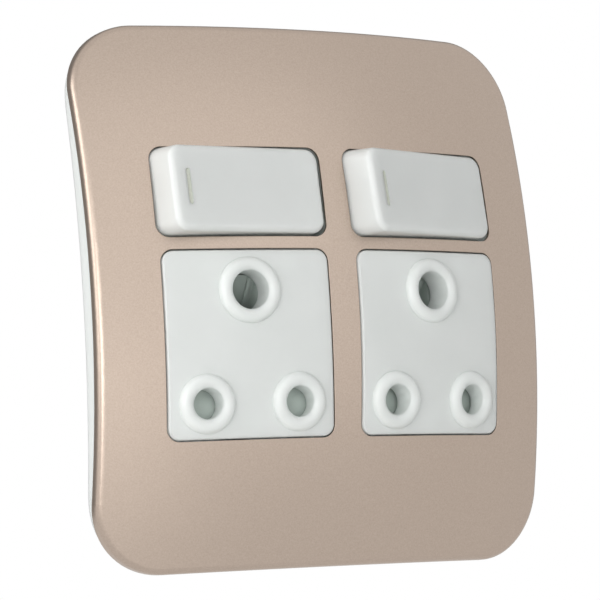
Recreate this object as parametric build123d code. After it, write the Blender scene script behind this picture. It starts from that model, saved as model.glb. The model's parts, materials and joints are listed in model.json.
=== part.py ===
from build123d import *
import math
import os

# Switched double socket for round-pin plugs, on a domed metal plate.
# Millimetres. The wall is the plane y = 0, the face looks along -y, +z is up.
# The origin is the middle of the wall face.

# Domed face, a piece of a ball; its corners stand this far off the wall
dome_r = 235.0
corner_height = 4.69

# Cover plate, pressed from sheet with a rolled edge
plate_width = 134.2
plate_height = 141.2
plate_corner_r = 18.5
plate_sheet = 0.8
plate_roll_r = 2.0
plate_skirt = 2.8

# Backing frame moulding
frame_inset = 1.0
frame_skin = 2.0
frame_wall = 2.0
frame_gap = 0.15
collar_wall = 1.2
relief_chord = 100.0
relief_rise = 3.6
box_screw_pitch = 84.0
box_screw_r = 2.1
box_screw_floor = 3.0
well_r = 3.8
well_wall = 1.2
pad_width = 14.0
rib_wall = 1.2
rib_row = 56.0
rib_column = 55.5
rib_off_wall = 8.0
rib_row_inset = 3.0
rib_column_inset = 4.0
boss_r = 3.2

# The two modules stand square to the dome, this far apart at the face
module_pitch = 55.16
window_gap = 0.4
frame_window_gap = 0.6

# Socket insert
insert_width = 45.8
insert_height = 47.8
insert_mid_z = -13.65
insert_to_rocker = 4.3
insert_corner_r = 3.0
insert_proud = 0.4
insert_skin = 2.2
insert_wall = 1.6
insert_edge_r = 0.5
skirt_inset = 0.3

# Pin entries: two supply pins below, one earth pin above
pin_pitch = 25.4
earth_rise = 28.6
supply_z = -28.69
supply_pin_r = 3.53
earth_pin_r = 4.35
supply_bore_r = 3.95
earth_bore_r = 5.05
supply_ring_r = 7.6
earth_ring_r = 8.5
ring_height = 1.7
ring_overlap = 0.3
entry_wall = 1.7

# Module body behind the insert and the rocker, depths measured from the crown
rim_depth = 15.4
rim_thick = 2.0
rim_width = 50.4
rim_corner_r = 6.0
body_corner_r = 4.0
rim_over_rocker = 1.6
body_width = 40.0
body_inset_low = 1.1
body_inset_high = 1.5
body_depth = 37.4
body_wall = 1.8
body_floor = 2.0
divider_z = 12.6
seam = 0.1
lug_width = 8.0
lug_reach = 6.5
fix_screw_r = 1.4
fix_hole_gap = 0.05
fix_head_r = 2.6
fix_head = 1.8
case_screw_x = 11.5
case_screw_inset = 3.25
case_screw_low_inset = 4.55
case_boss_r = 2.8
case_head_depth = 20.4
thread_length = 7.0
body_edge_r = 1.5
seat_wall = 1.2
wire_room = 0.6

# Shutter across the pin entries
play = 0.3
shutter_depth = 7.4
bore_to_shutter = 1.3
shutter_thick = 1.6
shutter_low_z = -33.9
shutter_high_z = -23.4
shutter_half = 17.5
waist_half = 13.5
shutter_shoulder_z = -12.0
shutter_travel = 8.8
ramp_depth = 15.4
ramp_top_z = 4.8
ramp_lip = 2.6
ramp_rib_x = 3.6
ramp_rib_width = 0.9
ramp_rib_height = 0.6
guide_rib = 1.2
peg_r = 0.8
peg_length = 3.0
arm_in = 5.4
arm_wall = 1.9
spring_r = 1.6
spring_wire = 0.5

# Brass contacts and terminals
tube_wall = 1.15
grip = 0.09
slot_width = 0.8
earth_tube_depth = 18.4
earth_tube_end = 28.2
supply_tube_end = 25.0
earth_block = 8.0
supply_block = 6.8
block_end = 35.0
line_block = 7.4
line_block_x = -11.0
line_block_rise = 4.4
line_block_depth = 25.4
wire_r = 1.9
clamp_reach = 3.4
clamp_screw_r = 1.75
clamp_head_r = 2.3
strap = 1.0
strap_depth = 22.4
strap_height = 4.6

# Rocker and switch works
rocker_face_width = 44.6
rocker_face_height = 22.1
rocker_corner_r = 3.5
rocker_edge_r = 1.5
rocker_proud = 3.6
rocker_depth = 11.0
rocker_end_draft = 4.6
rocker_side_draft = 2.6
rocker_skin = 1.8
rocker_wall = 1.6
rocker_tilt = 9.1
pivot_depth = 5.5
trunnion_r = 1.6
trunnion_gap = 0.08
cheek_in = 4.6
cheek_out = 6.2
cheek_depth = 7.2
cheek_boss_depth = 9.0
cheek_boss_half = 4.0
post_in = 6.6
post_out = 8.8
post_r = 2.3
post_foot_half = 6.5
post_foot_depth = 15.0
mark_length = 9.4
mark_width = 1.2
mark_depth = 0.3
mark_from_edge = 4.7
guide_r = 3.0
guide_length = 10.5
plunger_r = 1.95
plunger_top = 6.6
plunger_tip = 15.6
tip_r = 1.5
seesaw_tilt = 7.0
seesaw_half = 11.0
seesaw_width = 5.6
contact_thick = 1.0
contact_x = 9.0
contact_r = 1.5
contact_high = 0.7
anvil_x = 9.0
anvil_fall = 4.2
stop_x = 10.0
stop_fall = 1.6
shelf_fall = 2.7
shelf_drop = 16.0
leg_half = 2.2
foot_depth = 22.0
ridge_half = 0.9
ridge_fall = 0.2
slot_cut = 0.7

# Worked out from the sizes above
plate_corner_reach = plate_corner_r + math.hypot(
    plate_width / 2 - plate_corner_r, plate_height / 2 - plate_corner_r
)
wall_to_crown = dome_r - math.sqrt(dome_r**2 - plate_corner_reach**2) + corner_height
crown_y = -wall_to_crown
ahead_y = crown_y - 10.0
dome_axis = Axis((0, crown_y + dome_r, 0), (0, 0, 1))
module_turn = math.degrees(math.asin(module_pitch / 2 / dome_r))
rim_y = crown_y + rim_depth
body_rear_y = crown_y + body_depth
case_head_y = crown_y + case_head_depth
shutter_y = crown_y + shutter_depth
shutter_back_y = shutter_y + shutter_thick
bore_end_y = shutter_y - bore_to_shutter
ramp_deep_y = crown_y + ramp_depth
block_rear_y = crown_y + block_end
line_block_y = crown_y + line_block_depth
earth_tube_y = crown_y + earth_tube_depth
earth_closed_y = crown_y + earth_tube_end
supply_closed_y = crown_y + supply_tube_end
wire_y = block_rear_y - wire_r - clamp_reach
strap_x = body_width / 2 - body_wall - play
arm_out = arm_in + arm_wall
strap_y = crown_y + strap_depth
earth_z = supply_z + earth_rise
insert_high_z = insert_mid_z + insert_height / 2
insert_low_z = insert_mid_z - insert_height / 2
rocker_mid_z = insert_high_z + insert_to_rocker + rocker_face_height / 2
rim_low_z = insert_low_z + skirt_inset
rim_high_z = rocker_mid_z + rocker_face_height / 2 + rim_over_rocker
body_low_z = rim_low_z + body_inset_low
body_high_z = rim_high_z - body_inset_high
case_screw_z = insert_high_z - case_screw_inset
case_screw_low_z = insert_low_z + case_screw_low_inset
line_block_z = rocker_mid_z + line_block_rise
skin_front = plate_sheet + frame_gap
skin_back = skin_front + frame_skin
ring_top = insert_proud + ring_height
end_draft = math.tan(math.radians(rocker_end_draft))
side_draft = math.tan(math.radians(rocker_side_draft))
pivot_y = pivot_depth - rocker_proud
seesaw_y = plunger_tip - rocker_proud + play + contact_thick


def crown_at(z, x=0.0):
    """Depth of the domed face at a height and a distance to the side."""
    return crown_y + dome_r - math.sqrt(dome_r**2 - z**2 - x**2)


def dome(depth):
    """The ball whose skin lies this deep behind the face."""
    return Pos(0, crown_y + dome_r, 0) * Sphere(dome_r - depth)


def domed(solid, front, back=None):
    """Trim a solid to lie between two depths behind the domed face."""
    trimmed = solid & dome(front)
    return trimmed if back is None else trimmed - dome(back)


def prism(sketch, front_y, back_y):
    """Extrude a sketch drawn in x and z from one depth to another."""
    return extrude(Plane.XZ.offset(-back_y) * sketch, back_y - front_y)


def rod(x, z, radius, front_y, back_y):
    """A round bar along y."""
    return prism(Pos(x, z) * Circle(radius), front_y, back_y)


def block(low, high):
    """A box between two corners."""
    size = [b - a for a, b in zip(low, high)]
    return Pos(*low) * Box(*size, align=(Align.MIN, Align.MIN, Align.MIN))


def rounded(width, height, radius, x=0.0, z=0.0):
    """A rounded rectangle in x and z."""
    return Pos(x, z) * RectangleRounded(width, height, radius)


def roll_front(part, radius):
    """Round the edge all round a part's foremost face."""
    front = part.faces().sort_by(Axis.Y)[0]
    return fillet(front.outer_wire().edges(), radius)


def on_module(part, side):
    """Swing a part from the middle of the dome to its module's place."""
    return part.rotate(dome_axis, module_turn * side)


rocker_slope = math.degrees(math.asin(rocker_mid_z / dome_r))
rocker_seat = Pos(0, crown_at(rocker_mid_z), rocker_mid_z)
rocker_face = Pos(0, -rocker_proud, 0) * Rot(-rocker_slope, 0, 0)
pivot_line = Axis((0, pivot_y, 0), (0, 0, 1))
seesaw_line = Axis((0, seesaw_y, 0), (0, 0, 1))


def rocker_reach(depth):
    """Furthest the tipped rocker's raised end stands out sideways at a depth behind its face."""
    tilt = math.radians(rocker_tilt)
    half = rocker_face_width / 2 + depth * end_draft
    return half * math.cos(tilt) + (depth - pivot_depth) * math.sin(tilt)


def rocker_opening(depth, gap):
    """The opening that the rocker needs at a depth behind its face."""
    return rounded(
        2 * (rocker_reach(depth) + play),
        rocker_face_height + 2 * (depth * side_draft + gap),
        rocker_corner_r,
    )


# Where the raised end of the rocker passes the back of the plate
end_rise = rocker_face_width / 2 * math.sin(math.radians(rocker_tilt))
corner_z = rocker_mid_z + rocker_face_height / 2 - rocker_corner_r
plate_fall = crown_at(corner_z, rocker_face_width / 2) - crown_at(rocker_mid_z)
rocker_window = rocker_opening(rocker_proud + end_rise + plate_fall + plate_sheet, play)
frame_rocker_window = rocker_opening(rocker_depth, frame_window_gap)
insert_window = rounded(
    insert_width + 2 * window_gap,
    insert_height + 2 * window_gap,
    insert_corner_r + window_gap,
    z=insert_mid_z,
)


def window_cuts(side, opening):
    """The two openings for one module, through the plate or the frame."""
    through_insert = prism(insert_window, ahead_y, rim_y)
    through_rocker = rocker_seat * prism(opening, ahead_y - crown_y, rim_depth)
    return on_module(through_insert + through_rocker, side)


def make_cover_plate():
    outline = RectangleRounded(plate_width, plate_height, plate_corner_r)
    shell = domed(prism(outline, ahead_y, 0), 0, plate_skirt)
    shell = roll_front(shell, plate_roll_r)
    inside = offset(outline, -plate_sheet)
    hollow = domed(prism(inside, ahead_y, 0), plate_sheet, plate_skirt + plate_sheet)
    shell -= roll_front(hollow, plate_roll_r - plate_sheet)
    for side in (-1, 1):
        shell -= window_cuts(side, rocker_window)
    return shell


def edge_relief(along_z):
    """A long shallow arch cut from the wall side of the frame's edge."""
    half = relief_chord / 2
    arch = ThreePointArc((-half, 0), (0, -relief_rise), (half, 0))
    arch += Line((half, 0), (-half, 0))
    face = make_face(arch)
    plane = Plane.XY if along_z else Plane(origin=(0, 0, 0), x_dir=(0, 0, 1), z_dir=(-1, 0, 0))
    return extrude(plane * face, plate_height, both=True)


def module_fix_places():
    """Heights of the screws that hold a module in the frame."""
    return (rim_low_z - lug_reach / 2, rim_high_z + lug_reach / 2)


def shutter_passage():
    """Room for the shutter's arms above the insert when it stands open."""
    reach = arm_out + 2 * play
    top_z = ramp_top_z + shutter_travel + 2 * play
    low_z = insert_high_z - insert_wall - 2 * play
    return block((-reach, shutter_y - play, low_z), (reach, 0, top_z))


def make_backing_frame():
    outline = RectangleRounded(
        plate_width - 2 * frame_inset,
        plate_height - 2 * frame_inset,
        plate_corner_r - frame_inset,
    )
    frame = domed(prism(outline, ahead_y, 0), skin_front)
    frame = roll_front(frame, plate_roll_r - plate_sheet)
    frame -= domed(prism(offset(outline, -frame_wall), ahead_y, 1), skin_back)
    frame -= edge_relief(True)
    frame -= edge_relief(False)

    supports = Part()
    for up in (-1, 1):
        screw_z = up * box_screw_pitch / 2
        supports += rod(0, screw_z, well_r + well_wall, crown_y, 0)
        pad_height = abs(rib_row - box_screw_pitch / 2)
        pad = Pos(0, (screw_z + up * rib_row) / 2) * Rectangle(pad_width, pad_height)
        pad_rib = Pos(0, up * rib_row) * Rectangle(pad_width, rib_wall)
        row = Pos(0, up * rib_row) * Rectangle(plate_width - 2 * rib_row_inset, rib_wall)
        column = Pos(up * rib_column, 0) * Rectangle(rib_wall, plate_height - 2 * rib_column_inset)
        supports += prism(pad, -box_screw_floor, 0)
        supports += prism(pad_rib, crown_y, 0)
        supports += prism(row + column, crown_y, -rib_off_wall)
    for side in (-1, 1):
        collar = prism(offset(insert_window, collar_wall), crown_y, rim_y - seam)
        rocker_collar = Pos(0, rocker_mid_z) * offset(frame_rocker_window, collar_wall)
        collar += prism(rocker_collar, crown_y, rim_y - seam)
        for z in module_fix_places():
            collar += rod(0, z, boss_r, crown_y, rim_y - seam)
        supports += on_module(collar, side)
    frame += supports & dome((skin_front + skin_back) / 2)

    for side in (-1, 1):
        frame -= window_cuts(side, frame_rocker_window)
        frame -= on_module(shutter_passage(), side)
        for z in module_fix_places():
            frame -= on_module(rod(0, z, fix_screw_r + fix_hole_gap, rim_y - thread_length, rim_y), side)
    for up in (-1, 1):
        screw_z = up * box_screw_pitch / 2
        frame -= rod(0, screw_z, well_r, ahead_y, -box_screw_floor)
        frame -= rod(0, screw_z, box_screw_r, ahead_y, 1)
    return frame


def pin_places():
    """Each pin entry: x, z, bore radius, ring radius."""
    half = pin_pitch / 2
    return [
        (-half, supply_z, supply_bore_r, supply_ring_r),
        (half, supply_z, supply_bore_r, supply_ring_r),
        (0.0, earth_z, earth_bore_r, earth_ring_r),
    ]


def entry_ring(x, z, bore_r, ring_r):
    """A full round collar turned about the dome's own normal at a pin entry."""
    hole_r = bore_r - ring_overlap
    round_r = (ring_r - hole_r) / 2
    crest = Pos((ring_r + hole_r) / 2, ring_top - round_r) * Circle(round_r)
    foot_height = ring_top - round_r + insert_skin / 2
    foot = Pos((ring_r + hole_r) / 2, ring_top - round_r - foot_height / 2)
    foot = foot * Rectangle(2 * round_r, foot_height)
    ring = revolve(Plane.XZ * (crest + foot), Axis.Z)
    middle = Vector(0, crown_y + dome_r, 0)
    place = Vector(x, crown_at(z, x), z)
    return Plane(origin=place, x_dir=(1, 0, 0), z_dir=place - middle).location * ring


def make_socket_front():
    outline = rounded(insert_width, insert_height, insert_corner_r, z=insert_mid_z)
    face = domed(prism(outline, ahead_y, 0), -insert_proud, insert_skin - insert_proud)
    face = roll_front(face, insert_edge_r)
    for x, z, bore_r, ring_r in pin_places():
        face += entry_ring(x, z, bore_r, ring_r)

    skirt_outline = offset(outline, -skirt_inset)
    skirt = prism(skirt_outline - offset(skirt_outline, -insert_wall), ahead_y, rim_y - seam)
    inside = prism(skirt_outline, ahead_y, 0)
    for x, z, bore_r, _ in pin_places():
        skirt += rod(x, z, bore_r + entry_wall, ahead_y, bore_end_y)
    for x, z in case_screw_places():
        skirt += rod(x, z, case_boss_r, ahead_y, rim_y - seam) & inside
    guide_x = shutter_half + play + guide_rib / 2
    guide_height = shutter_shoulder_z - insert_low_z - 2 * insert_wall
    for side in (-1, 1):
        guide = Pos(side * guide_x, shutter_shoulder_z - guide_height / 2)
        skirt += prism(guide * Rectangle(guide_rib, guide_height), ahead_y, shutter_back_y)
    front = face + (skirt & dome(insert_skin / 2))

    for x, z, bore_r, _ in pin_places():
        front -= rod(x, z, bore_r, ahead_y, 0)
    for x, z in case_screw_places():
        front -= rod(x, z, fix_screw_r + fix_hole_gap, rim_y - thread_length - 1, rim_y)
    return front - shutter_passage()


def case_screw_places():
    return [
        (-case_screw_x, case_screw_z),
        (case_screw_x, case_screw_z),
        (0.0, case_screw_low_z),
    ]


def tube_places():
    """Each contact tube: x, z, outer radius, front depth."""
    half = pin_pitch / 2
    supply_out = supply_pin_r + grip + tube_wall
    earth_out = earth_pin_r + grip + tube_wall
    supply_tube_y = shutter_back_y + 2 * play
    return {
        "neutral": (-half, supply_z, supply_out, supply_tube_y),
        "live": (half, supply_z, supply_out, supply_tube_y),
        "earth": (0.0, earth_z, earth_out, earth_tube_y),
    }


def make_module_body():
    body_height = body_high_z - body_low_z
    body_mid = (body_high_z + body_low_z) / 2
    rim_height = rim_high_z - rim_low_z
    rim_mid = (rim_high_z + rim_low_z) / 2
    outline = rounded(body_width, body_height, body_corner_r, z=body_mid)
    body = prism(outline, rim_y, body_rear_y)
    body = fillet(body.faces().sort_by(Axis.Y)[-1].edges(), body_edge_r)
    body += prism(rounded(rim_width, rim_height, rim_corner_r, z=rim_mid), rim_y, rim_y + rim_thick)
    for z in module_fix_places():
        body += prism(rounded(lug_width, lug_reach + 4, body_edge_r, z=z), rim_y, rim_y + rim_thick)
    floor_y = body_rear_y - body_floor
    body -= prism(offset(outline, -body_wall), rim_y - 1, floor_y)

    divider = Pos(0, divider_z) * Rectangle(body_width - 2, body_wall)
    body += prism(divider, ramp_deep_y + play, floor_y + 0.5)
    for x, z, outer_r, front_y in tube_places().values():
        seat = rod(x, z, outer_r + play / 2 + seat_wall, front_y - play, floor_y + 0.5)
        body += seat & prism(outline, crown_y, body_rear_y)
    for x, z in case_screw_places():
        body += rod(x, z, case_boss_r + 0.4, rim_y, floor_y + 0.5)
    for x, z, outer_r, front_y in tube_places().values():
        body -= rod(x, z, outer_r + play / 2, front_y - 1, floor_y)
    cup_in = line_block / 2 + play
    cup_out = cup_in + seat_wall
    body += block(
        (line_block_x - cup_out, line_block_y, line_block_z - cup_out),
        (line_block_x + cup_out, floor_y, line_block_z + cup_out),
    )
    body -= block(
        (line_block_x - cup_in, line_block_y - 1, line_block_z - cup_in),
        (line_block_x + cup_in, floor_y, line_block_z + cup_in),
    )

    post = Pos(0, pivot_y) * Circle(post_r)
    post += make_face(
        Polyline(
            (-post_r, pivot_y), (post_r, pivot_y),
            (post_foot_half, post_foot_depth), (post_foot_half, body_depth),
            (-post_foot_half, body_depth), (-post_foot_half, post_foot_depth), close=True,
        )
    )
    for side in (-1, 1):
        mid = side * (post_in + post_out) / 2
        start = mid - (post_out - post_in) / 2
        bearing = Pos(0, 0, start) * extrude(post, post_out - post_in)
        bearing -= Pos(0, pivot_y, mid) * Cylinder(trunnion_r + trunnion_gap, 6)
        body += rocker_seat * bearing & prism(outline, ahead_y, floor_y + 0.5)
    anvil = block((anvil_x - 3.0, seesaw_y + anvil_fall, -3.0), (anvil_x + 3.5, body_depth, 3.0))
    stop = block((-stop_x - 1.5, seesaw_y + stop_fall, -3.0), (-stop_x + 1.5, body_depth, 0.2))
    body += rocker_seat * (anvil + stop) & prism(outline, ahead_y, floor_y + 0.5)

    for x, z in case_screw_places():
        body -= rod(x, z, fix_screw_r + 0.3, rim_y - 1, body_rear_y + 1)
        body -= rod(x, z, fix_head_r + 0.3, case_head_y, body_rear_y + 1)
    for z in module_fix_places():
        body -= rod(0, z, fix_screw_r + 0.3, rim_y - 1, rim_y + rim_thick + 1)
    for x, z in clamp_places():
        body -= rod(x, z, clamp_head_r + 0.4, floor_y - 1, body_rear_y + 1)
    side_wire = Pos(0, wire_y, earth_z) * Rot(0, 90, 0) * Cylinder(wire_r + wire_room, body_width + 2)
    low_wire = Pos(-pin_pitch / 2, wire_y, body_low_z) * Cylinder(wire_r + wire_room, 8)
    high_wire = Pos(line_block_x, wire_y, body_high_z) * Cylinder(wire_r + wire_room, 8)
    body -= side_wire
    body -= low_wire
    body -= high_wire
    slot_front = strap_y - 0.5
    slot_back = strap_y + strap_height + 0.4
    slot_high_z = rocker_mid_z + leg_half + 0.8
    body -= block(
        (strap_x - strap - play, slot_front, supply_z), (strap_x + play / 2, slot_back, slot_high_z)
    )
    body -= block(
        (pin_pitch / 2, slot_front, supply_z - 3), (strap_x + play / 2, slot_back, supply_z + 3)
    )
    return body


def clamp_places():
    return [
        (0.0, earth_z),
        (-pin_pitch / 2, supply_z),
        (line_block_x, line_block_z),
    ]


def make_tube(name, pin_r, closed_y):
    """A split brass tube that grips one pin, closed at the back."""
    x, z, outer_r, front_y = tube_places()[name]
    tube = rod(x, z, outer_r, front_y, closed_y)
    tube -= rod(x, z, pin_r + grip, front_y - 1, closed_y - 1.2)
    slot_depth = (closed_y - front_y) * 0.75
    for turn in (45, 135):
        slot = Pos(x, z) * Rot(0, 0, turn) * Rectangle(3 * outer_r, slot_width)
        tube -= prism(slot, front_y - 1, front_y + slot_depth)
    lip = [e for e in tube.edges() if abs(e.center().Y - front_y) < 0.01 and e.length > 2]
    inner = [e for e in lip if e.radius < outer_r - 0.1] if lip else []
    return chamfer(inner, 0.4) if inner else tube


def terminal_block(x, z, size, front_y, wire_axis):
    """A brass block with a wire hole and a clamp screw hole from behind."""
    half = size / 2
    piece = block((x - half, front_y, z - half), (x + half, block_rear_y, z + half))
    turn = Rot(0, 90, 0) if wire_axis == "x" else Rot(0, 0, 0)
    piece -= Pos(x, wire_y, z) * turn * Cylinder(wire_r, size + 2)
    piece -= rod(x, z, clamp_screw_r + fix_hole_gap, wire_y, block_rear_y + 1)
    return piece


def make_earth_contact():
    tube = make_tube("earth", earth_pin_r, earth_closed_y)
    return tube + terminal_block(0.0, earth_z, earth_block, earth_closed_y - 0.5, "x")


def make_neutral_contact():
    tube = make_tube("neutral", supply_pin_r, supply_closed_y)
    return tube + terminal_block(-pin_pitch / 2, supply_z, supply_block, supply_closed_y - 0.5, "z")


def make_live_contact():
    tube = make_tube("live", supply_pin_r, supply_closed_y)
    low_z = supply_z - leg_half
    tail = block(
        (pin_pitch / 2, supply_closed_y - tube_wall, low_z), (strap_x, supply_closed_y, low_z + 2 * leg_half)
    )
    strap_back = strap_y + strap_height
    riser = block((strap_x - strap, strap_y, low_z), (strap_x, strap_back, rocker_mid_z + leg_half))
    shelf_y = seesaw_y + shelf_fall
    shelf = block((contact_x - 2.4, shelf_y, -leg_half), (strap_x, shelf_y + strap, leg_half))
    drop = block((strap_x - strap, shelf_y, -leg_half), (strap_x, shelf_y + shelf_drop, leg_half))
    button = rod(contact_x, 0, contact_r, shelf_y - contact_high, shelf_y + 0.2)
    top = rocker_seat * (shelf + drop + button)
    limit = block((0, crown_y, 0), (strap_x, strap_back, plate_height / 2))
    return tube + tail + riser + (top & limit)


def make_line_terminal():
    piece = terminal_block(line_block_x, line_block_z, line_block, line_block_y, "z")
    ridge_y = seesaw_y + ridge_fall
    ridge = Polyline(
        (0, ridge_y), (ridge_half, ridge_y + 2), (ridge_half, foot_depth),
        (-ridge_half, foot_depth), (-ridge_half, ridge_y + 2), close=True,
    )
    ridge = rocker_seat * Pos(0, 0, -seesaw_width / 2) * extrude(make_face(ridge), seesaw_width)
    foot_y = crown_at(rocker_mid_z) + foot_depth
    foot_low = rocker_mid_z + 0.5
    drop_low = line_block_z - line_block / 2
    drop_high = drop_low + 2.1
    foot = block((line_block_x, foot_y - 1.0, foot_low), (ridge_half, foot_y + 0.2, foot_low + 1.9))
    left_x, right_x = line_block_x - 1, line_block_x + 1
    foot += block((left_x, foot_y - 1.0, foot_low), (right_x, foot_y + 0.2, drop_high))
    drop = block((left_x, foot_y - 1.0, drop_low), (right_x, line_block_y + 1.2, drop_high))
    drop += block((left_x, line_block_y, drop_low), (right_x, line_block_y + 1.2, line_block_z))
    return piece + ridge + foot + drop


def make_clamp_screws():
    screws = []
    for x, z in clamp_places():
        screw = rod(x, z, clamp_screw_r, wire_y + wire_r + 0.2, block_rear_y + 0.3)
        screw += rod(x, z, clamp_head_r, block_rear_y + 0.2, block_rear_y + 2.2)
        slot = Pos(x, z) * Rectangle(3 * clamp_head_r, slot_cut)
        screws.append(screw - prism(slot, block_rear_y + 1.4, block_rear_y + 3))
    return Compound(children=screws)


def make_case_screws():
    screws = []
    for x, z in case_screw_places():
        screw = rod(x, z, fix_screw_r, rim_y - thread_length, case_head_y + 0.3)
        screw += rod(x, z, fix_head_r, case_head_y, case_head_y + fix_head)
        screws.append(screw)
    return Compound(children=screws)


def make_module_screws():
    screws = []
    head_y = rim_y + rim_thick
    for z in module_fix_places():
        screw = rod(0, z, fix_screw_r, rim_y - thread_length + 1, head_y + 0.3)
        screw += rod(0, z, fix_head_r, head_y, head_y + fix_head)
        slot = Pos(0, z) * Rectangle(3 * fix_head_r, slot_cut)
        screws.append(screw - prism(slot, head_y + 1.0, head_y + 3))
    return Compound(children=screws)


def shutter_part(low_z, high_z, half):
    """One width of the shutter's flat plate, between two heights."""
    return Pos(0, (low_z + high_z) / 2) * Rectangle(2 * half, high_z - low_z)


def make_shutter():
    arms_low_z = earth_z - earth_pin_r - play - shutter_travel
    plate = shutter_part(shutter_low_z, shutter_high_z, shutter_half)
    plate += shutter_part(supply_z, shutter_shoulder_z, waist_half)
    plate += shutter_part(shutter_shoulder_z, ramp_top_z, arm_out)
    plate -= shutter_part(shutter_low_z - 4, shutter_low_z + 4.7, case_boss_r + 0.8)
    plate -= shutter_part(arms_low_z, ramp_top_z, arm_in)
    shutter = prism(plate, shutter_y, shutter_back_y)

    low_z = earth_z + earth_pin_r + play - shutter_travel
    ramp = Polyline(
        (shutter_y, ramp_top_z), (shutter_y + ramp_lip, ramp_top_z),
        (ramp_deep_y, low_z + 2.4), (ramp_deep_y, low_z), close=True,
    )
    cheek = Polyline(
        (shutter_y, ramp_top_z), (ramp_deep_y - 3, ramp_top_z), (ramp_deep_y, low_z + 3),
        (ramp_deep_y, low_z), (shutter_back_y, low_z - 8), (shutter_y, low_z - 8), close=True,
    )
    rib = Polyline(
        (shutter_y, ramp_top_z - 0.1), (shutter_y, ramp_top_z - 2 * ramp_rib_height),
        (ramp_deep_y - 2 * ramp_rib_height, low_z), (ramp_deep_y, low_z + 0.1), close=True,
    )
    shutter += Pos(-arm_in, 0, 0) * extrude(Plane.YZ * make_face(ramp), 2 * arm_in)
    for side in (-1, 1):
        start = arm_in if side > 0 else -arm_out
        shutter += Pos(start, 0, 0) * extrude(Plane.YZ * make_face(cheek), arm_wall)
        start = side * ramp_rib_x - ramp_rib_width / 2
        shutter += Pos(start, 0, 0) * extrude(Plane.YZ * make_face(rib), ramp_rib_width)
        peg_y = shutter_y + shutter_thick / 2
        peg = Pos(side * case_screw_x, peg_y, shutter_shoulder_z + 1.2)
        shutter += peg * Cylinder(peg_r, peg_length)
    return shutter


def make_shutter_springs():
    springs = []
    low_z = shutter_shoulder_z
    high_z = case_screw_z - case_boss_r
    for side in (-1, 1):
        place = Pos(side * case_screw_x, shutter_y + shutter_thick / 2, (low_z + high_z) / 2)
        coil = place * Cylinder(spring_r, high_z - low_z - 0.1)
        coil -= place * Cylinder(spring_r - spring_wire, high_z - low_z + 1)
        springs.append(coil)
    return Compound(children=springs)


def rocker_section(depth, inset=0.0):
    """The rocker's outline at a depth behind the middle of its face."""
    width = rocker_face_width + 2 * (depth * end_draft - inset)
    height = rocker_face_height + 2 * (depth * side_draft - inset)
    sketch = RectangleRounded(width, height, rocker_corner_r - inset)
    return Plane.XZ.offset(rocker_proud - depth) * sketch


def ahead_of(depth):
    """Everything in front of a depth behind the rocker's sloping face."""
    return rocker_face * block((-40, -20, -40), (40, depth, 40))


def tip_rocker(part):
    return rocker_seat * part.rotate(pivot_line, rocker_tilt)


def make_rocker():
    shell = loft([rocker_section(-3), rocker_section(rocker_depth)]) - ahead_of(0)
    shell = fillet(shell.faces().sort_by(Axis.Y)[0].edges(), rocker_edge_r)
    hollow = loft([rocker_section(-1, rocker_wall), rocker_section(rocker_depth + 1, rocker_wall)])
    shell -= hollow - ahead_of(rocker_skin)

    works = rod(0, 0, guide_r, -rocker_proud, guide_length - rocker_proud)
    cheek_half = rocker_face_width / 2 - rocker_wall / 2
    cheek_y = cheek_depth - rocker_proud
    boss_y = cheek_boss_depth - rocker_proud
    for side in (-1, 1):
        low, high = sorted((side * cheek_in, side * cheek_out))
        works += block((-cheek_half, ahead_y - crown_y, low), (cheek_half, cheek_y, high))
        works += block((-cheek_boss_half, 0, low), (cheek_boss_half, boss_y, high))
        trunnion = Cylinder(trunnion_r, post_out - cheek_in)
        works += Pos(0, pivot_y, side * (post_out + cheek_in) / 2) * trunnion
    shell += works - ahead_of(rocker_skin / 2)
    shell -= rod(0, 0, plunger_r + 0.1, rocker_skin - rocker_proud, guide_length)

    mark_x = -rocker_face_width / 2 + mark_from_edge
    mark = Pos(mark_x, 0.3) * Rot(0, 0, 90) * SlotOverall(mark_length, mark_width)
    shell -= rocker_face * prism(mark, -1, mark_depth)
    return tip_rocker(shell)


def make_plunger():
    stem = rod(0, 0, plunger_r, plunger_top - rocker_proud, plunger_tip - 1.6 - rocker_proud)
    tip = rod(0, 0, tip_r, plunger_tip - 2.0 - rocker_proud, plunger_tip - rocker_proud)
    tip = fillet(tip.faces().sort_by(Axis.Y)[-1].edges(), tip_r * 0.8)
    return tip_rocker(stem + tip)


def make_plunger_spring():
    coil = rod(0, 0, 1.75, rocker_skin - rocker_proud + 0.05, plunger_top - rocker_proud - 0.05)
    coil -= rod(0, 0, 1.25, -rocker_proud, plunger_top)
    return tip_rocker(coil)


def make_moving_contact():
    top_y = seesaw_y - contact_thick - 0.05
    strip = prism(
        rounded(2 * seesaw_half, seesaw_width, 1.2), top_y, top_y + contact_thick
    )
    strip += rod(contact_x, 0, contact_r, top_y + contact_thick - 0.1, top_y + contact_thick + contact_high)
    return rocker_seat * strip.rotate(seesaw_line, -seesaw_tilt)


def save(name, part):
    part.label = name
    export_step(part, f"parts/{name}.step")


module_makers = {
    "socket_front": make_socket_front,
    "module_body": make_module_body,
    "earth_contact": make_earth_contact,
    "neutral_contact": make_neutral_contact,
    "live_contact": make_live_contact,
    "line_terminal": make_line_terminal,
    "terminal_screws": make_clamp_screws,
    "case_screws": make_case_screws,
    "module_screws": make_module_screws,
    "shutter": make_shutter,
    "shutter_springs": make_shutter_springs,
    "rocker": make_rocker,
    "plunger": make_plunger,
    "plunger_spring": make_plunger_spring,
    "moving_contact": make_moving_contact,
}

os.makedirs("parts", exist_ok=True)
save("cover_plate", make_cover_plate())
save("backing_frame", make_backing_frame())
for name, maker in module_makers.items():
    piece = maker()
    for side_name, side in (("left", -1), ("right", 1)):
        save(f"{side_name}_{name}", on_module(piece, side))
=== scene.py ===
import json
import math

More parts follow.
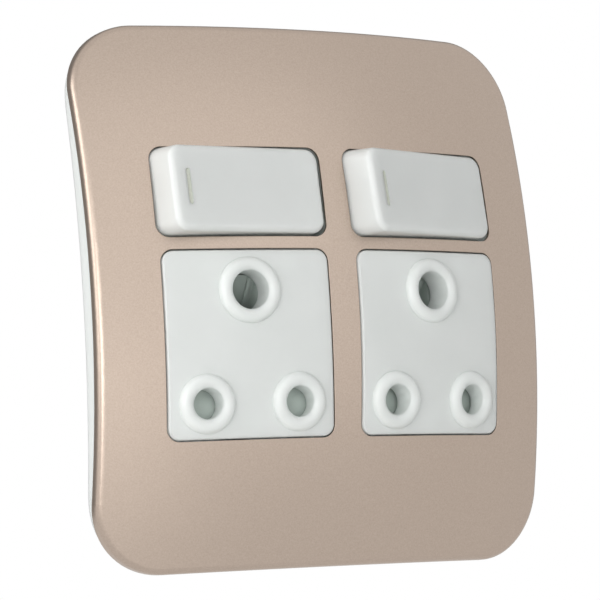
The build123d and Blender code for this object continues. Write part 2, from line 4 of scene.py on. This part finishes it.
import bpy
from mathutils import Matrix, Vector


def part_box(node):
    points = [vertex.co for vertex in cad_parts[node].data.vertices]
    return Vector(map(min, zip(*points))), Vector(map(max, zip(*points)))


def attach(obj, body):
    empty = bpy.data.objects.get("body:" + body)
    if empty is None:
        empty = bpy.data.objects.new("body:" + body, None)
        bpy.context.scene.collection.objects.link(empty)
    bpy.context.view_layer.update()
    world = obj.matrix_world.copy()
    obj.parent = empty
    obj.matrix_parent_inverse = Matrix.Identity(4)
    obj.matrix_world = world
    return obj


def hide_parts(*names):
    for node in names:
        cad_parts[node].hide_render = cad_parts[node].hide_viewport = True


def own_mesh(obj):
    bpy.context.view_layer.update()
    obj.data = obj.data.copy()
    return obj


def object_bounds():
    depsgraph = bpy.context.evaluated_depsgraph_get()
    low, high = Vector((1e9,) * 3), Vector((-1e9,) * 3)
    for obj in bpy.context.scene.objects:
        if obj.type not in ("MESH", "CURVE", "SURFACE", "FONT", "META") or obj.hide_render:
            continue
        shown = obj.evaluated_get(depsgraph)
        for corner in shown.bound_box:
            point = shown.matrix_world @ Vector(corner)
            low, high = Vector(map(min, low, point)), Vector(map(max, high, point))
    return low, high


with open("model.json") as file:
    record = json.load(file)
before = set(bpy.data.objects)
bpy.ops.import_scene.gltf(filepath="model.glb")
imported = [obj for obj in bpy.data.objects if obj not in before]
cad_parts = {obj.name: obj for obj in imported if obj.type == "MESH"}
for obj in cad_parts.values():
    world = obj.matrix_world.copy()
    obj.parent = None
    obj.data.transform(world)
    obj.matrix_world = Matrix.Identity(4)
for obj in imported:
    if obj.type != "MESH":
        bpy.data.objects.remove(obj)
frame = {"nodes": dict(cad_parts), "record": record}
cad_low, cad_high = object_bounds()
MM = 0.001
SIDE_SIGN = {"left": -1, "right": 1}


# Camera, at the photograph's angle

CAMERA_AT = Vector((-0.4413, -0.7211, -0.0959))
CAMERA_RIGHT = Vector((0.8549, -0.5145, -0.0659))
CAMERA_UP = Vector((-0.0023, -0.1306, 0.9914))
CAMERA_BACK = Vector((-0.5187, -0.8475, -0.1129))
CAMERA_LENS = 193.4
SENSOR_WIDTH = 36.0
CLIP_NEAR, CLIP_FAR = 0.01, 20.0


def add_camera():
    data = bpy.data.cameras.new("photo_camera")
    data.lens = CAMERA_LENS
    data.sensor_width = SENSOR_WIDTH
    data.clip_start = CLIP_NEAR
    data.clip_end = CLIP_FAR
    camera = bpy.data.objects.new("photo_camera", data)
    turn = Matrix((CAMERA_RIGHT, CAMERA_UP, CAMERA_BACK)).transposed()
    camera.matrix_world = Matrix.Translation(CAMERA_AT) @ turn.to_4x4()
    bpy.context.scene.collection.objects.link(camera)
    bpy.context.scene.camera = camera


# Material building. Colours are screen values from 0 to 255, and heights and radii are in metres.

TONE_SPAN = (0.3, 0.7)
BEVEL_SAMPLES = 4
WHITE = (1, 1, 1, 1)


def linear(red, green, blue):
    """A colour given as 0 to 255 screen values, as the shader wants it."""
    def one(value):
        value = value / 255
        return value / 12.92 if value < 0.04045 else ((value + 0.055) / 1.055) ** 2.4
    return (one(red), one(green), one(blue), 1.0)


def new_material(name, color, roughness, metallic=0.0):
    """A material with its shader and the object's own coordinates in metres."""
    material = bpy.data.materials.new(name)
    material.use_nodes = True
    tree = material.node_tree
    shader = tree.nodes["Principled BSDF"]
    shader.inputs["Base Color"].default_value = color
    shader.inputs["Roughness"].default_value = roughness
    shader.inputs["Metallic"].default_value = metallic
    place = tree.nodes.new("ShaderNodeTexCoord")
    return material, tree, shader, place.outputs["Object"]


def noise(tree, place, scale, detail=2.0, stretch=(1, 1, 1)):
    """Noise with grains of about one over scale metres."""
    mapping = tree.nodes.new("ShaderNodeMapping")
    mapping.inputs["Scale"].default_value = stretch
    tree.links.new(place, mapping.inputs["Vector"])
    texture = tree.nodes.new("ShaderNodeTexNoise")
    texture.inputs["Scale"].default_value = scale
    texture.inputs["Detail"].default_value = detail
    tree.links.new(mapping.outputs["Vector"], texture.inputs["Vector"])
    return texture.outputs["Fac"]


def map_range(tree, value, start, end, span=(0.0, 1.0)):
    """A value that runs from start to end over the span. Either end may be a socket."""
    ramp = tree.nodes.new("ShaderNodeMapRange")
    tree.links.new(value, ramp.inputs["Value"])
    ramp.inputs["From Min"].default_value, ramp.inputs["From Max"].default_value = span
    for name, limit in (("To Min", start), ("To Max", end)):
        if isinstance(limit, bpy.types.NodeSocket):
            tree.links.new(limit, ramp.inputs[name])
        else:
            ramp.inputs[name].default_value = limit
    return ramp.outputs["Result"]


def vary_color(tree, shader, factor, light, dark):
    """Base colour that wanders between two tones."""
    ramp = tree.nodes.new("ShaderNodeValToRGB")
    for stop, position, color in zip(ramp.color_ramp.elements, TONE_SPAN, (dark, light)):
        stop.position = position
        stop.color = color
    tree.links.new(factor, ramp.inputs["Fac"])
    tree.links.new(ramp.outputs["Color"], shader.inputs["Base Color"])


def vary_roughness(tree, shader, factor, low, high):
    tree.links.new(map_range(tree, factor, low, high), shader.inputs["Roughness"])


def add_bump(tree, shader, factor, height):
    """Raise the surface by a height in metres."""
    bump = tree.nodes.new("ShaderNodeBump")
    bump.inputs["Strength"].default_value = 1.0
    bump.inputs["Distance"].default_value = height
    tree.links.new(factor, bump.inputs["Height"])
    tree.links.new(bump.outputs["Normal"], shader.inputs["Normal"])
    return bump


def soften_edges(tree, bump, radius):
    """Catch the light along sharp edges."""
    bevel = tree.nodes.new("ShaderNodeBevel")
    bevel.samples = BEVEL_SAMPLES
    bevel.inputs["Radius"].default_value = radius
    tree.links.new(bevel.outputs["Normal"], bump.inputs["Normal"])


def champagne_metal():
    """Satin metal with a fine sparkle."""
    material, tree, shader, place = new_material("champagne_metal", linear(179, 163, 150), 0.34, 0.9)
    grain = noise(tree, place, 2600, 3)
    vary_color(tree, shader, grain, linear(184, 168, 155), linear(174, 158, 145))
    vary_roughness(tree, shader, noise(tree, place, 900), 0.3, 0.38)
    bump = add_bump(tree, shader, grain, 0.000006)
    soften_edges(tree, bump, 0.0003)
    return material


def white_plastic():
    """Smooth moulded plastic that light enters a little way."""
    material, tree, shader, place = new_material("white_plastic", linear(238, 243, 240), 0.32)
    shader.inputs["Subsurface Weight"].default_value = 0.8
    shader.inputs["Subsurface Radius"].default_value = (1.0, 1.0, 1.0)
    shader.inputs["Subsurface Scale"].default_value = 0.004
    cloud = noise(tree, place, 60)
    vary_color(tree, shader, cloud, linear(240, 245, 242), linear(236, 241, 238))
    vary_roughness(tree, shader, noise(tree, place, 700), 0.28, 0.36)
    bump = add_bump(tree, shader, noise(tree, place, 1800), 0.000004)
    soften_edges(tree, bump, 0.0003)
    return material


def body_plastic():
    """Plain matt moulding of the hidden bodies, with a spark-eroded texture."""
    material, tree, shader, place = new_material("body_plastic", linear(214, 216, 212), 0.5)
    cloud = noise(tree, place, 90, 3)
    vary_color(tree, shader, cloud, linear(218, 220, 216), linear(208, 210, 205))
    vary_roughness(tree, shader, cloud, 0.45, 0.58)
    bump = add_bump(tree, shader, noise(tree, place, 3000), 0.00002)
    soften_edges(tree, bump, 0.0003)
    return material


def shutter_plastic():
    """The shutters' plastic, greener than the white, and darker than it as painted shade for the
    shutters deep in the holes.
    """
    material, tree, shader, place = new_material("shutter_plastic", linear(200, 210, 203), 0.4)
    cloud = noise(tree, place, 120)
    vary_color(tree, shader, cloud, linear(200, 210, 204), linear(190, 200, 194))
    vary_roughness(tree, shader, cloud, 0.36, 0.46)
    bump = add_bump(tree, shader, noise(tree, place, 2200), 0.000008)
    soften_edges(tree, bump, 0.0002)
    return material


def brass():
    """Brass with fine streaks across y."""
    material, tree, shader, place = new_material("brass", linear(205, 170, 95), 0.3, 1.0)
    drawn = noise(tree, place, 500, 3, (1, 12, 1))
    vary_color(tree, shader, drawn, linear(214, 180, 104), linear(190, 152, 80))
    vary_roughness(tree, shader, drawn, 0.24, 0.4)
    bump = add_bump(tree, shader, drawn, 0.00001)
    soften_edges(tree, bump, 0.00015)
    return material


def steel():
    """Bright steel with a cloudy plating."""
    material, tree, shader, place = new_material("steel", linear(176, 178, 180), 0.34, 1.0)
    passivated = noise(tree, place, 400, 3)
    vary_color(tree, shader, passivated, linear(190, 192, 194), linear(160, 164, 168))
    vary_roughness(tree, shader, passivated, 0.28, 0.42)
    bump = add_bump(tree, shader, noise(tree, place, 2500), 0.000008)
    soften_edges(tree, bump, 0.00015)
    return material


def mark_paint():
    """Matt grey-green paint, a little uneven."""
    material, tree, shader, place = new_material("mark_paint", linear(212, 215, 203), 0.6)
    cloud = noise(tree, place, 1500)
    vary_color(tree, shader, cloud, linear(216, 219, 207), linear(207, 211, 199))
    add_bump(tree, shader, cloud, 0.00002)
    return material


MATERIALS = {
    "mark_paint": mark_paint(),
    "champagne_metal": champagne_metal(),
    "white_plastic": white_plastic(),
    "body_plastic": body_plastic(),
    "shutter_plastic": shutter_plastic(),
    "brass": brass(),
    "steel": steel(),
}


def dress_cad_nodes():
    """Give every CAD node the material of its slot."""
    slots = {row["node"]: row["material_slot"] for row in frame["record"]["subparts"]}
    for name, node in frame["nodes"].items():
        node.data.materials.clear()
        node.data.materials.append(MATERIALS[slots[name]])


# Places on the two modules, in millimetres as in the part's source

DOME_R = 235.0
CROWN_Y = -22.503
MODULE_SPACING = 55.16
MODULE_TURN = math.asin(MODULE_SPACING / 2 / DOME_R)
ROCKER_MID_Z = 25.6
ROCKER_SEAT_Y = CROWN_Y + DOME_R - math.sqrt(DOME_R**2 - ROCKER_MID_Z**2)
ROCKER_SLOPE = math.asin(ROCKER_MID_Z / DOME_R)
ROCKER_TILT = math.radians(9.1)
ROCKER_PROUD = 3.6
PIVOT_Y = 1.9


def module_matrix(side):
    """From a module's own place, in millimetres, to the row frame in metres."""
    middle = Matrix.Translation((0, CROWN_Y + DOME_R, 0))
    swing = Matrix.Rotation(MODULE_TURN * SIDE_SIGN[side], 4, "Z")
    return Matrix.Scale(MM, 4) @ middle @ swing @ middle.inverted()


def rocker_matrix(side):
    """From the rocker's own place, before it is tipped, to the row frame."""
    pivot = Matrix.Translation((0, PIVOT_Y, 0))
    tip = pivot @ Matrix.Rotation(ROCKER_TILT, 4, "Z") @ pivot.inverted()
    return module_matrix(side) @ Matrix.Translation((0, ROCKER_SEAT_Y, ROCKER_MID_Z)) @ tip


def rocker_face_matrix(side):
    """From the rocker's sloping face, x and z on it and y into it, to the row frame."""
    front = Matrix.Translation((0, -ROCKER_PROUD, 0)) @ Matrix.Rotation(-ROCKER_SLOPE, 4, "X")
    return rocker_matrix(side) @ front


# Mesh pieces


def make_piece(name, points, faces, material, body, replaced=None):
    """A mesh piece in the row frame that rides on a body, in place of a CAD node if one is given."""
    mesh = bpy.data.meshes.new(name)
    mesh.from_pydata([tuple(p) for p in points], [], faces)
    mesh.validate()
    mesh.update()
    for polygon in mesh.polygons:
        polygon.use_smooth = True
    piece = bpy.data.objects.new(name, mesh)
    bpy.context.scene.collection.objects.link(piece)
    mesh.materials.append(MATERIALS[material])
    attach(piece, body)
    if replaced:
        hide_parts(replaced)
    return piece


def grid_faces(rows, columns):
    """Quads between rows of points, each of which runs round and closes on itself."""
    faces = []
    for i in range(rows - 1):
        for j in range(columns):
            here, after = i * columns, (i + 1) * columns
            beside = (j + 1) % columns
            faces.append((here + j, here + beside, after + beside, after + j))
    return faces


def end_caps(rows, columns):
    """The two faces that close a grid's first and last row."""
    last = (rows - 1) * columns
    return [tuple(range(columns))[::-1], tuple(range(last, last + columns))]


# Springs: radius outside, the wire's radius, length and turns, in millimetres

SHUTTER_SPRING_R, SHUTTER_WIRE_R, SHUTTER_TURNS = 1.6, 0.22, 13
PLUNGER_SPRING_R, PLUNGER_WIRE_R, PLUNGER_SPRING_LENGTH, PLUNGER_TURNS = 1.75, 0.2, 4.7, 6
CLOSED_TURNS = 1.5
WIRE_SIDES = 8
TURN_STEPS = 20


def coil_points(radius, wire_r, length, turns):
    """A compression spring along z from 0, with closed ends, as rings of a tube."""
    steps = round(turns * TURN_STEPS)
    flat = CLOSED_TURNS * 2 * wire_r
    points = []
    for i in range(steps + 1):
        turn = turns * i / steps
        if turn < CLOSED_TURNS:
            z = turn * 2 * wire_r
        elif turn > turns - CLOSED_TURNS:
            z = length - 2 * wire_r - (turns - turn) * 2 * wire_r
        else:
            share = (turn - CLOSED_TURNS) / (turns - 2 * CLOSED_TURNS)
            z = flat + share * (length - 2 * wire_r - 2 * flat)
        angle = 2 * math.pi * turn
        out = Vector((math.cos(angle), math.sin(angle), 0))
        for j in range(WIRE_SIDES):
            around = 2 * math.pi * j / WIRE_SIDES
            reach = radius - wire_r + wire_r * math.cos(around)
            points.append(out * reach + Vector((0, 0, z + wire_r + wire_r * math.sin(around))))
    return points, grid_faces(steps + 1, WIRE_SIDES) + end_caps(steps + 1, WIRE_SIDES)


def add_shutter_springs(side):
    """A shutter's two coils, each in the place of its plain tube at one end of the node's box."""
    node = f"{side}_shutter_springs"
    low, high = (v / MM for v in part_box(node))
    points, faces = coil_points(SHUTTER_SPRING_R, SHUTTER_WIRE_R, high.z - low.z, SHUTTER_TURNS)
    left_x, right_x = low.x + SHUTTER_SPRING_R, high.x - SHUTTER_SPRING_R
    outer_x, inner_x = (left_x, right_x) if side == "left" else (right_x, left_x)
    outer_y, inner_y = high.y - SHUTTER_SPRING_R, low.y + SHUTTER_SPRING_R
    for end, x, y in (("outer", outer_x, outer_y), ("inner", inner_x, inner_y)):
        place = [(p + Vector((x, y, low.z))) * MM for p in points]
        name = f"{side}_shutter_spring_{end}"
        piece = make_piece(name, place, faces, "steel", f"{side}_shutter", node)
        # With the shutter right up, a spring is 0.457 of its length at rest
        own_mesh(piece)


def add_plunger_spring(side):
    """The coil between a rocker and its plunger, along the rocker's own y."""
    node = f"{side}_plunger_spring"
    points, faces = coil_points(
        PLUNGER_SPRING_R, PLUNGER_WIRE_R, PLUNGER_SPRING_LENGTH, PLUNGER_TURNS
    )
    seat = Matrix.Translation((0, -PLUNGER_SPRING_R, 0)) @ Matrix.Rotation(-math.pi / 2, 4, "X")
    start = rocker_matrix(side) @ seat
    place = [start @ p for p in points]
    make_piece(f"{node}_coil", place, faces, "steel", f"{side}_rocker", node)


# Screws, in millimetres

PITCH, THREAD_DEPTH = 0.7, 0.16
TIP_LENGTH, TIP_TAPER = 1.0, 0.35
CENTRE_R = 0.001
SCREW_SIDES = 40
SHANK_INSET = 0.02
SHANK_STEPS, EDGE_STEPS, TOP_STEPS = 60, 5, 14
UNDER_BEVEL, EDGE_DROP, EDGE_R, EDGE_RISE, TOP_CROWN = 0.15, 0.5, 0.45, 0.35, 0.15
RECESS_HALF_WIDTH, SLOT_DEPTH = 0.36, 0.75
CROSS_REACH, CROSS_DEPTH, CROSS_FADE_R = 1.55, 1.1, 2.6
NEXT_SCREW_TURN = 0.7

# Each kind of screw: its places (x, z), the depths of its tip and of its head's top, the radii of
# shank and head, the head's height and the recess in it
SCREWS = {
    "case_screws": (((-11.5, 7.0), (11.5, 7.0), (0, -33.0)), -14.1, -0.3, 1.4, 2.6, 1.8, "cross"),
    "module_screws": (((0, -40.5), (0, 41.5)), -13.1, -3.3, 1.4, 2.6, 1.8, "slot"),
    "terminal_screws": (
        ((0, -0.09), (-12.7, -28.69), (-11.0, 30.0)), 9.3, 14.7, 1.75, 2.3, 2.0, "slot"
    ),
}


def screw_profile(shank_r, length, head_r, head_height):
    """Radius and y of each ring of a screw, and where its thread ends and its head's top starts."""
    head_y, edge_y, flat_r = length - head_height, length - EDGE_DROP, head_r - EDGE_R
    profile = [(CENTRE_R, 0.0)]
    for i in range(SHANK_STEPS + 1):
        y = SHANK_INSET + (head_y - 2 * SHANK_INSET) * i / SHANK_STEPS
        profile.append((shank_r, y))
    thread_end = len(profile)
    profile += [(head_r - UNDER_BEVEL, head_y), (head_r, head_y + UNDER_BEVEL), (head_r, edge_y)]
    for i in range(EDGE_STEPS):
        bend = math.pi / 2 * (i + 1) / EDGE_STEPS
        profile.append((flat_r + EDGE_R * math.cos(bend), edge_y + EDGE_RISE * math.sin(bend)))
    top_start = len(profile)
    for i in range(1, TOP_STEPS + 1):
        share = 1 - i / TOP_STEPS
        profile.append((max(flat_r * share, CENTRE_R), length - TOP_CROWN * share**2))
    return profile, thread_end, top_start


def recess_depth(recess, radius, angle):
    """How deep the screwdriver's slot or cross is at a point of the head's top."""
    x, z = abs(radius * math.cos(angle)), abs(radius * math.sin(angle))
    if recess == "slot" and z < RECESS_HALF_WIDTH:
        return SLOT_DEPTH
    if recess == "cross" and min(x, z) < RECESS_HALF_WIDTH and radius < CROSS_REACH:
        return CROSS_DEPTH * (1 - radius / CROSS_FADE_R)
    return 0.0


def screw_points(shank_r, length, head_r, head_height, recess):
    """A screw along y: its tip at 0, its head's top at length. The recess is slot or cross."""
    profile, thread_end, top_start = screw_profile(shank_r, length, head_r, head_height)
    points = []
    for k, (radius, y) in enumerate(profile):
        for j in range(SCREW_SIDES):
            angle = 2 * math.pi * j / SCREW_SIDES
            r, depth = radius, 0.0
            if 0 < k < thread_end:
                wave = abs(2 * ((y / PITCH - j / SCREW_SIDES) % 1) - 1)
                r = radius - THREAD_DEPTH * wave - max(0.0, TIP_LENGTH - y) * TIP_TAPER
            if k >= top_start:
                depth = recess_depth(recess, radius, angle)
            points.append(Vector((r * math.cos(angle), y - depth, r * math.sin(angle))))
    return points, grid_faces(len(profile), SCREW_SIDES)


def add_screws(side):
    """A module's threaded screws with driven heads, in place of the plain ones."""
    for kind, (places, tip_y, top_y, shank_r, head_r, head_height, recess) in SCREWS.items():
        points, faces = screw_points(shank_r, top_y - tip_y, head_r, head_height, recess)
        for number, (x, z) in enumerate(places, 1):
            turn = Matrix.Rotation(NEXT_SCREW_TURN * number, 4, "Y")
            turned = module_matrix(side) @ Matrix.Translation((x, tip_y, z)) @ turn
            name = f"{side}_{kind[:-1]}_{number}"
            place = [turned @ p for p in points]
            make_piece(name, place, faces, "steel", "housing", f"{side}_{kind}")


# The painted stroke on a rocker: its middle on the face (x, z), its half length and half width,
# and the depths of its bottom and its surface, in millimetres

STROKE_X, STROKE_Z = -17.6, 0.3
STROKE_HALF_LENGTH, STROKE_HALF_WIDTH = 4.68, 0.58
PAINT_BOTTOM, PAINT_TOP, PAINT_SWELL = 0.3, 0.2, 0.03
RIM_POINTS = 24


def add_mark(side):
    """Paint in the recessed stroke near a rocker's left end."""
    rim = []
    for i in range(RIM_POINTS):
        angle = 2 * math.pi * i / RIM_POINTS
        end = math.copysign(STROKE_HALF_LENGTH - STROKE_HALF_WIDTH, math.sin(angle))
        rim.append((STROKE_HALF_WIDTH * math.cos(angle), end + STROKE_HALF_WIDTH * math.sin(angle)))
    face = rocker_face_matrix(side) @ Matrix.Translation((STROKE_X, 0, STROKE_Z))
    rings = ((1.0, PAINT_BOTTOM), (1.0, PAINT_TOP), (0.9, PAINT_TOP - PAINT_SWELL), (0.3, PAINT_TOP))
    points = []
    for share, depth in rings:
        points += [face @ Vector((x * share, depth, z * share)) for x, z in rim]
    faces = grid_faces(len(rings), RIM_POINTS) + end_caps(len(rings), RIM_POINTS)
    make_piece(f"{side}_mark_paint", points, faces, "mark_paint", f"{side}_rocker")


# Studio. Each lamp: its place, size, power and what it points at

LAMPS = {
    "left_side": ((-1.25, 0.12, 0.4), (0.9, 0.7), 4.8, (0, 0, 0)),
    "left_front": ((-1.14, -1.02, 0.0), (0.6, 0.6), 5.8, (0, 0, 0)),
    "front_soft": ((0.05, -2.0, 0.25), (2.8, 2.4), 9.5, (0, 0, 0)),
    "front_low": ((-0.22, -0.6, -0.2), (0.5, 0.35), 0.25, (-0.02, -0.02, -0.02)),
}

# The world's soft light and how far it leans left, and the brightness that mirrors see behind the
# object and in the panel at the left. Each span is a stretch of a direction's x, y or z.
SOFT_LIGHT, SOFT_LEAN = 0.4, 0.8
BEHIND, PANEL = 0.25, 1.5
ALL_X, PANEL_X, BEHIND_Y, HORIZON_Z = (-1.0, 1.0), (-0.95, -0.6), (0.1, 0.6), (-0.05, 0.15)

# The floor's size, how far below the object it lies and the camera's share of plain white in it
FLOOR_SIZE, FLOOR_DROP, FLOOR_WHITE = 6.0, 0.36, 0.7


def add_lamps():
    for name, (at, size, power, aim) in LAMPS.items():
        data = bpy.data.lights.new(name, "AREA")
        data.shape = "RECTANGLE"
        data.size, data.size_y = size
        data.energy = power
        light = bpy.data.objects.new(name, data)
        light.location = at
        away = Vector(at) - Vector(aim)
        light.rotation_euler = away.to_track_quat("Z", "Y").to_euler()
        light.visible_camera = False
        bpy.context.scene.collection.objects.link(light)


def add_world():
    """Soft light from all round, more from the left.

    Mirrors see white ahead, a bright panel at the left and a dimmer wall behind.
    """
    world = bpy.data.worlds.new("studio")
    bpy.context.scene.world = world
    world.use_nodes = True
    tree = world.node_tree
    background = tree.nodes["Background"]
    background.inputs["Color"].default_value = WHITE
    direction = tree.nodes.new("ShaderNodeTexCoord").outputs["Generated"]
    split = tree.nodes.new("ShaderNodeSeparateXYZ")
    tree.links.new(direction, split.inputs["Vector"])
    x, y, z = split.outputs["X"], split.outputs["Y"], split.outputs["Z"]
    soft = map_range(tree, x, SOFT_LIGHT * (1 + SOFT_LEAN), SOFT_LIGHT * (1 - SOFT_LEAN), ALL_X)
    wall = map_range(tree, y, 1.0, BEHIND, BEHIND_Y)
    panel = map_range(tree, z, 1.0, map_range(tree, x, PANEL, 1.0, PANEL_X), HORIZON_Z)
    room = tree.nodes.new("ShaderNodeMath")
    room.operation = "MULTIPLY"
    tree.links.new(wall, room.inputs[0])
    tree.links.new(panel, room.inputs[1])
    path = tree.nodes.new("ShaderNodeLightPath")
    seen = map_range(tree, path.outputs["Is Glossy Ray"], soft, room.outputs["Value"])
    seen = map_range(tree, path.outputs["Is Camera Ray"], seen, 1.0)
    tree.links.new(seen, background.inputs["Strength"])


def add_floor():
    """A pale floor with the object's shadow, mostly white to the camera and wholly to mirrors."""
    bpy.ops.mesh.primitive_plane_add(size=FLOOR_SIZE, location=(0, 0, cad_low.z - FLOOR_DROP))
    floor = bpy.context.object
    floor.name = "floor"
    material, tree, shader, place = new_material("floor", linear(236, 236, 234), 0.8)
    vary_color(tree, shader, noise(tree, place, 3), linear(238, 238, 236), linear(233, 233, 231))
    white = tree.nodes.new("ShaderNodeEmission")
    path = tree.nodes.new("ShaderNodeLightPath")
    mix = tree.nodes.new("ShaderNodeMixShader")
    lift = tree.nodes.new("ShaderNodeMath")
    lift.operation = "MULTIPLY_ADD"
    lift.inputs[1].default_value = FLOOR_WHITE
    tree.links.new(path.outputs["Is Camera Ray"], lift.inputs[0])
    tree.links.new(path.outputs["Is Glossy Ray"], lift.inputs[2])
    tree.links.new(lift.outputs["Value"], mix.inputs["Fac"])
    tree.links.new(shader.outputs["BSDF"], mix.inputs[1])
    tree.links.new(white.outputs["Emission"], mix.inputs[2])
    tree.links.new(mix.outputs["Shader"], tree.nodes["Material Output"].inputs["Surface"])
    floor.data.materials.append(material)


add_camera()
dress_cad_nodes()
for side in SIDE_SIGN:
    add_shutter_springs(side)
    add_plunger_spring(side)
for side in SIDE_SIGN:
    add_screws(side)
for side in SIDE_SIGN:
    add_mark(side)
add_world()
add_lamps()
add_floor()
bpy.context.scene.view_settings.view_transform = "Standard"
